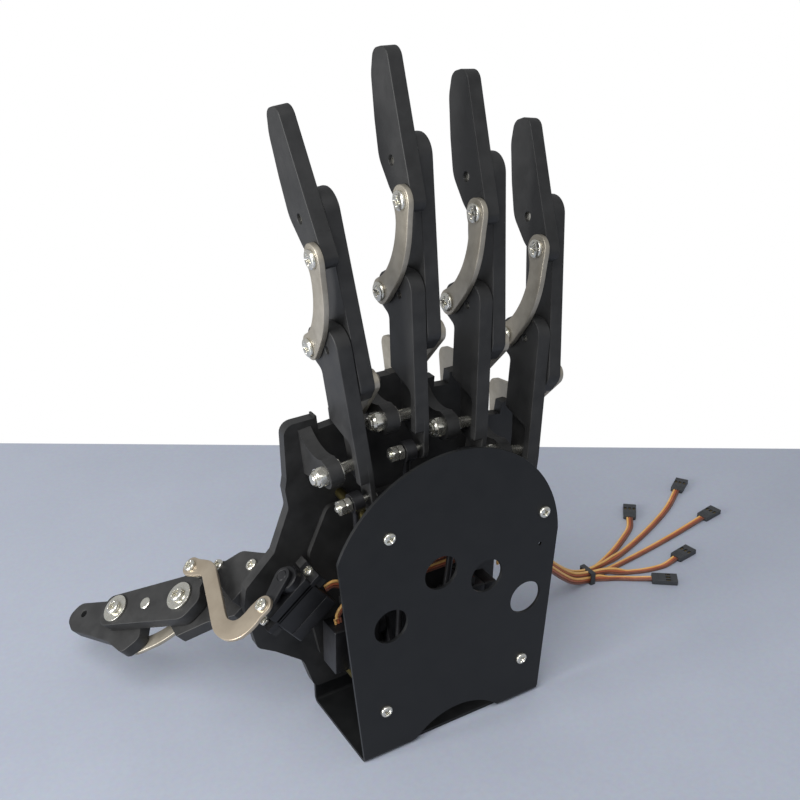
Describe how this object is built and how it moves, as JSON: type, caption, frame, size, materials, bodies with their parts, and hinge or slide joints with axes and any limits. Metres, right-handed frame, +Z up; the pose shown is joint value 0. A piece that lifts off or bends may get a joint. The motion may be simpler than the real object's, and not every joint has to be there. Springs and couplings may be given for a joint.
{
  "type": "dexterous robot hand",
  "caption": "Desktop robot hand with flat linkage-driven fingers and thumb on a bent sheet bracket, each digit curled by its own servo and push rod.",
  "frame": {"origin": "centre of the underside of the bracket's base, halfway across its width and halfway through its depth", "axes": "+Z up from the floor along the fingers, +Y from the front cover to the palm side the fingers curl to, +X towards the little finger"},
  "size_m": [0.3822, 0.1324, 0.3035],
  "materials": {
    "black_coated_metal": "matte",
    "black_plate": "satin",
    "servo_case": "satin",
    "bright_nickel": "polished",
    "satin_nickel": "satin",
    "olive_brass": "satin",
    "horn_plastic": "satin",
    "lead_wire": "satin"
  },
  "bodies": {
    "frame": {"palm_bracket": "black_coated_metal", "palm_plate": "black_plate", "standoffs": "olive_brass", "cover_screws": "bright_nickel", "rear_screws": "bright_nickel", "flange_screws": "bright_nickel", "axle_bolts": "bright_nickel", "axle_nuts": "bright_nickel", "axle_washers": "bright_nickel", "link_pins": "bright_nickel", "servo_mount": "black_plate", "servo_screws": "bright_nickel", "index_servo": "servo_case", "middle_servo": "servo_case", "ring_servo": "servo_case", "little_servo": "servo_case", "thumb_servo": "servo_case", "thumb_base": "black_plate", "thumb_base_screws": "bright_nickel", "index_lead": "lead_wire", "middle_lead": "lead_wire", "ring_lead": "lead_wire", "little_lead": "lead_wire", "thumb_lead": "lead_wire", "lead_plugs": "black_plate", "lead_tie": "black_plate"},
    "index_proximal": {"index_proximal": "black_plate"},
    "index_middle": {"index_middle": "black_plate"},
    "index_distal": {"index_distal": "black_plate"},
    "index_knuckle_link": {"index_knuckle_link": "satin_nickel"},
    "index_tip_link": {"index_tip_link": "satin_nickel"},
    "index_horn": {"index_horn": "horn_plastic"},
    "index_rod": {"index_rod": "black_coated_metal"},
    "middle_proximal": {"middle_proximal": "black_plate"},
    "middle_middle": {"middle_middle": "black_plate"},
    "middle_distal": {"middle_distal": "black_plate"},
    "middle_knuckle_link": {"middle_knuckle_link": "satin_nickel"},
    "middle_tip_link": {"middle_tip_link": "satin_nickel"},
    "middle_horn": {"middle_horn": "horn_plastic"},
    "middle_rod": {"middle_rod": "black_coated_metal"},
    "ring_proximal": {"ring_proximal": "black_plate"},
    "ring_middle": {"ring_middle": "black_plate"},
    "ring_distal": {"ring_distal": "black_plate"},
    "ring_knuckle_link": {"ring_knuckle_link": "satin_nickel"},
    "ring_tip_link": {"ring_tip_link": "satin_nickel"},
    "ring_horn": {"ring_horn": "horn_plastic"},
    "ring_rod": {"ring_rod": "black_coated_metal"},
    "little_proximal": {"little_proximal": "black_plate"},
    "little_middle": {"little_middle": "black_plate"},
    "little_distal": {"little_distal": "black_plate"},
    "little_knuckle_link": {"little_knuckle_link": "satin_nickel"},
    "little_tip_link": {"little_tip_link": "satin_nickel"},
    "little_horn": {"little_horn": "horn_plastic"},
    "little_rod": {"little_rod": "black_coated_metal"},
    "thumb_proximal": {"thumb_proximal": "black_plate"},
    "thumb_distal": {"thumb_distal": "black_plate"},
    "thumb_tip_link": {"thumb_tip_link": "satin_nickel"},
    "thumb_drive_link": {"thumb_drive_link": "satin_nickel"},
    "thumb_horn": {"thumb_horn": "horn_plastic"}
  },
  "joints": [
    {"name": "index_knuckle", "type": "hinge", "parent": "frame", "child": "index_proximal", "pos_m": [-0.04, -0.003, 0.1403], "axis": [-0.9962, 0, -0.0872], "range_deg": [0, 40]},
    {"name": "index_middle_joint", "type": "hinge", "parent": "index_proximal", "child": "index_middle", "pos_m": [-0.04457, 0.00066, 0.19247], "axis": [-0.9962, 0, -0.0872], "range_deg": [0, 57.6]},
    {"name": "index_end_joint", "type": "hinge", "parent": "index_middle", "child": "index_distal", "pos_m": [-0.04907, 0.00978, 0.24398], "axis": [-0.9962, 0, -0.0872], "range_deg": [0, 34.56]},
    {"name": "index_tip_link_joint", "type": "hinge", "parent": "index_proximal", "child": "index_tip_link", "pos_m": [-0.04441, 0.01107, 0.19075], "axis": [-0.9962, 0, -0.0872], "range_deg": [0, 52.99]},
    {"name": "index_knuckle_link_joint", "type": "hinge", "parent": "frame", "child": "index_knuckle_link", "pos_m": [-0.03974, 0.0285, 0.13731], "axis": [-0.9962, 0, -0.0872], "range_deg": [0, 27.2]},
    {"name": "index_servo_shaft", "type": "hinge", "parent": "frame", "child": "index_horn", "pos_m": [-0.03604, 0.003, 0.095], "axis": [-0.9962, 0, -0.0872], "range_deg": [0, 40]},
    {"name": "index_rod_joint", "type": "hinge", "parent": "index_horn", "child": "index_rod", "pos_m": [-0.03492, -0.00441, 0.08224], "axis": [-0.9962, 0, -0.0872], "range_deg": [-40, 0]},
    {"name": "middle_knuckle", "type": "hinge", "parent": "frame", "child": "middle_proximal", "pos_m": [-0.0134, -0.003, 0.157], "axis": [-0.9997, 0, 0.0262], "range_deg": [0, 40]},
    {"name": "middle_middle_joint", "type": "hinge", "parent": "middle_proximal", "child": "middle_middle", "pos_m": [-0.01203, -0.00025, 0.20941], "axis": [-0.9997, 0, 0.0262], "range_deg": [0, 57.6]},
    {"name": "middle_end_joint", "type": "hinge", "parent": "middle_middle", "child": "middle_distal", "pos_m": [-0.01066, 0.00666, 0.26144], "axis": [-0.9997, 0, 0.0262], "range_deg": [0, 34.56]},
    {"name": "middle_tip_link_joint", "type": "hinge", "parent": "middle_proximal", "child": "middle_tip_link", "pos_m": [-0.01207, 0.01018, 0.20786], "axis": [-0.9997, 0, 0.0262], "range_deg": [0, 52.99]},
    {"name": "middle_knuckle_link_joint", "type": "hinge", "parent": "frame", "child": "middle_knuckle_link", "pos_m": [-0.01348, 0.0285, 0.154], "axis": [-0.9997, 0, 0.0262], "range_deg": [0, 27.2]},
    {"name": "middle_servo_shaft", "type": "hinge", "parent": "frame", "child": "middle_horn", "pos_m": [-0.01615, 0.003, 0.052], "axis": [-0.9997, 0, 0.0262], "range_deg": [0, 40]},
    {"name": "middle_rod_joint", "type": "hinge", "parent": "middle_horn", "child": "middle_rod", "pos_m": [-0.01649, -0.00419, 0.03906], "axis": [-0.9997, 0, 0.0262], "range_deg": [-40, 0]},
    {"name": "ring_knuckle", "type": "hinge", "parent": "frame", "child": "ring_proximal", "pos_m": [0.016, -0.003, 0.1453], "axis": [-0.9954, 0, 0.0958], "range_deg": [0, 40]},
    {"name": "ring_middle_joint", "type": "hinge", "parent": "ring_proximal", "child": "ring_middle", "pos_m": [0.02102, 0.00066, 0.19743], "axis": [-0.9954, 0, 0.0958], "range_deg": [0, 57.6]},
    {"name": "ring_end_joint", "type": "hinge", "parent": "ring_middle", "child": "ring_distal", "pos_m": [0.02598, 0.00978, 0.2489], "axis": [-0.9954, 0, 0.0958], "range_deg": [0, 34.56]},
    {"name": "ring_tip_link_joint", "type": "hinge", "parent": "ring_proximal", "child": "ring_tip_link", "pos_m": [0.02085, 0.01107, 0.19571], "axis": [-0.9954, 0, 0.0958], "range_deg": [0, 52.99]},
    {"name": "ring_knuckle_link_joint", "type": "hinge", "parent": "frame", "child": "ring_knuckle_link", "pos_m": [0.01571, 0.0285, 0.14231], "axis": [-0.9954, 0, 0.0958], "range_deg": [0, 27.2]},
    {"name": "ring_servo_shaft", "type": "hinge", "parent": "frame", "child": "ring_horn", "pos_m": [0.00702, 0.003, 0.052], "axis": [-0.9954, 0, 0.0958], "range_deg": [0, 40]},
    {"name": "ring_rod_joint", "type": "hinge", "parent": "ring_horn", "child": "ring_rod", "pos_m": [0.00579, -0.00441, 0.03925], "axis": [-0.9954, 0, 0.0958], "range_deg": [-40, 0]},
    {"name": "little_knuckle", "type": "hinge", "parent": "frame", "child": "little_proximal", "pos_m": [0.044, -0.003, 0.1232], "axis": [-0.9863, 0, 0.165], "range_deg": [0, 40]},
    {"name": "little_middle_joint", "type": "hinge", "parent": "little_proximal", "child": "little_middle", "pos_m": [0.05262, 0.00203, 0.17474], "axis": [-0.9863, 0, 0.165], "range_deg": [0, 57.6]},
    {"name": "little_end_joint", "type": "hinge", "parent": "little_middle", "child": "little_distal", "pos_m": [0.06105, 0.01443, 0.22506], "axis": [-0.9863, 0, 0.165], "range_deg": [0, 34.56]},
    {"name": "little_tip_link_joint", "type": "hinge", "parent": "little_proximal", "child": "little_tip_link", "pos_m": [0.0523, 0.01239, 0.17277], "axis": [-0.9863, 0, 0.165], "range_deg": [0, 52.99]},
    {"name": "little_knuckle_link_joint", "type": "hinge", "parent": "frame", "child": "little_knuckle_link", "pos_m": [0.04351, 0.0285, 0.12024], "axis": [-0.9863, 0, 0.165], "range_deg": [0, 27.2]},
    {"name": "little_servo_shaft", "type": "hinge", "parent": "frame", "child": "little_horn", "pos_m": [0.03962, 0.003, 0.097], "axis": [-0.9863, 0, 0.165], "range_deg": [0, 40]},
    {"name": "little_rod_joint", "type": "hinge", "parent": "little_horn", "child": "little_rod", "pos_m": [0.03753, -0.00475, 0.08456], "axis": [-0.9863, 0, 0.165], "range_deg": [-40, 0]},
    {"name": "thumb_knuckle", "type": "hinge", "parent": "frame", "child": "thumb_proximal", "pos_m": [-0.09883, 0.0535, 0.06289], "axis": [0.6157, 0, -0.788], "range_deg": [0, 40]},
    {"name": "thumb_end_joint", "type": "hinge", "parent": "thumb_proximal", "child": "thumb_distal", "pos_m": [-0.12111, 0.08361, 0.04549], "axis": [0.6157, 0, -0.788], "range_deg": [0, 17.6]},
    {"name": "thumb_tip_link_joint", "type": "hinge", "parent": "frame", "child": "thumb_tip_link", "pos_m": [-0.09261, 0.0582, 0.06776], "axis": [0.6157, 0, -0.788], "range_deg": [0, 38.4]},
    {"name": "thumb_servo_shaft", "type": "hinge", "parent": "frame", "child": "thumb_horn", "pos_m": [-0.06582, 0.005, 0.08869], "axis": [0.6157, 0, -0.788], "range_deg": [-32, 0]},
    {"name": "thumb_drive_link_joint", "type": "hinge", "parent": "thumb_horn", "child": "thumb_drive_link", "pos_m": [-0.07685, -0.001, 0.08007], "axis": [0.6157, 0, -0.788], "range_deg": [0, 24.8]}
  ],
  "couplings": [
    {"joint": "index_middle_joint", "follows": "index_knuckle", "ratio": 1.44},
    {"joint": "index_end_joint", "follows": "index_knuckle", "ratio": 0.864},
    {"joint": "index_tip_link_joint", "follows": "index_knuckle", "ratio": 1.3248},
    {"joint": "index_knuckle_link_joint", "follows": "index_knuckle", "ratio": 0.68},
    {"joint": "index_servo_shaft", "follows": "index_knuckle", "ratio": 1},
    {"joint": "index_rod_joint", "follows": "index_knuckle", "ratio": -1},
    {"joint": "middle_middle_joint", "follows": "middle_knuckle", "ratio": 1.44},
    {"joint": "middle_end_joint", "follows": "middle_knuckle", "ratio": 0.864},
    {"joint": "middle_tip_link_joint", "follows": "middle_knuckle", "ratio": 1.3248},
    {"joint": "middle_knuckle_link_joint", "follows": "middle_knuckle", "ratio": 0.68},
    {"joint": "middle_servo_shaft", "follows": "middle_knuckle", "ratio": 1},
    {"joint": "middle_rod_joint", "follows": "middle_knuckle", "ratio": -1},
    {"joint": "ring_middle_joint", "follows": "ring_knuckle", "ratio": 1.44},
    {"joint": "ring_end_joint", "follows": "ring_knuckle", "ratio": 0.864},
    {"joint": "ring_tip_link_joint", "follows": "ring_knuckle", "ratio": 1.3248},
    {"joint": "ring_knuckle_link_joint", "follows": "ring_knuckle", "ratio": 0.68},
    {"joint": "ring_servo_shaft", "follows": "ring_knuckle", "ratio": 1},
    {"joint": "ring_rod_joint", "follows": "ring_knuckle", "ratio": -1},
    {"joint": "little_middle_joint", "follows": "little_knuckle", "ratio": 1.44},
    {"joint": "little_end_joint", "follows": "little_knuckle", "ratio": 0.864},
    {"joint": "little_tip_link_joint", "follows": "little_knuckle", "ratio": 1.3248},
    {"joint": "little_knuckle_link_joint", "follows": "little_knuckle", "ratio": 0.68},
    {"joint": "little_servo_shaft", "follows": "little_knuckle", "ratio": 1},
    {"joint": "little_rod_joint", "follows": "little_knuckle", "ratio": -1},
    {"joint": "thumb_end_joint", "follows": "thumb_knuckle", "ratio": 0.44},
    {"joint": "thumb_tip_link_joint", "follows": "thumb_knuckle", "ratio": 0.96},
    {"joint": "thumb_servo_shaft", "follows": "thumb_knuckle", "ratio": -0.8},
    {"joint": "thumb_drive_link_joint", "follows": "thumb_knuckle", "ratio": 0.62}
  ]
}
